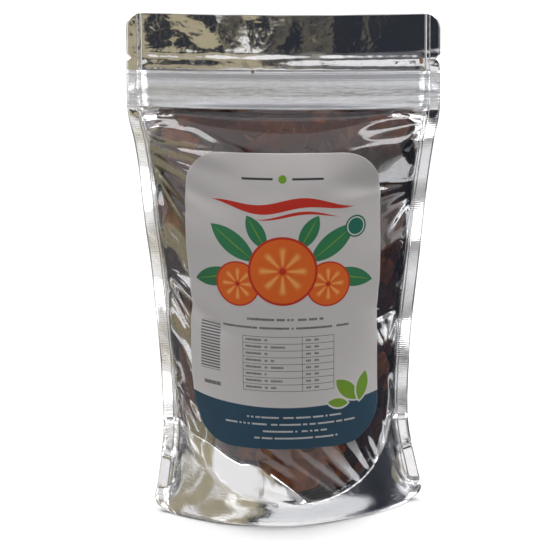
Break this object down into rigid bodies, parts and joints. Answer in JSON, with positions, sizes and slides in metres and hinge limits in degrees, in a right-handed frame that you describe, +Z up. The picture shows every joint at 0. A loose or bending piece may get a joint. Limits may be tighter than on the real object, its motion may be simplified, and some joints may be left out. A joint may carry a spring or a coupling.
{
  "type": "stand-up pouch of dried fruit slices",
  "caption": "Filled stand-up zip pouch with a clear front, silver back and folded base, a rounded paper label and dried persimmon slices inside.",
  "frame": {"origin": "middle of the pouch's footprint, on the surface it stands on", "axes": "+Z up, +Y from the clear front towards the silver back, +X across the width to the right as seen from the front"},
  "size_m": [0.13, 0.0649, 0.22],
  "materials": {
    "clear_film": "clear, glossy, softly creased",
    "silver_film": "metallised plastic film, bright, creased",
    "zip_plastic": "translucent, satin",
    "label_paper": "coated, satin, with plain printed shapes",
    "dried_fruit": "dried persimmon, leathery, slightly sticky sheen"
  },
  "bodies": {
    "root": {"front_film": "clear_film", "back_film": "silver_film", "bottom_gusset": "silver_film", "zip_rib_strip": "zip_plastic", "zip_groove_strip": "zip_plastic", "label": "label_paper", "slice_01": "dried_fruit", "slice_02": "dried_fruit", "slice_03": "dried_fruit", "slice_04": "dried_fruit", "slice_05": "dried_fruit", "slice_06": "dried_fruit", "slice_07": "dried_fruit", "slice_08": "dried_fruit", "slice_09": "dried_fruit", "slice_10": "dried_fruit", "slice_11": "dried_fruit", "slice_12": "dried_fruit", "slice_13": "dried_fruit", "slice_14": "dried_fruit", "slice_15": "dried_fruit", "slice_16": "dried_fruit", "slice_17": "dried_fruit", "slice_18": "dried_fruit", "slice_19": "dried_fruit", "slice_20": "dried_fruit", "slice_21": "dried_fruit", "slice_22": "dried_fruit", "slice_23": "dried_fruit", "slice_24": "dried_fruit", "slice_25": "dried_fruit"}
  },
  "joints": []
}
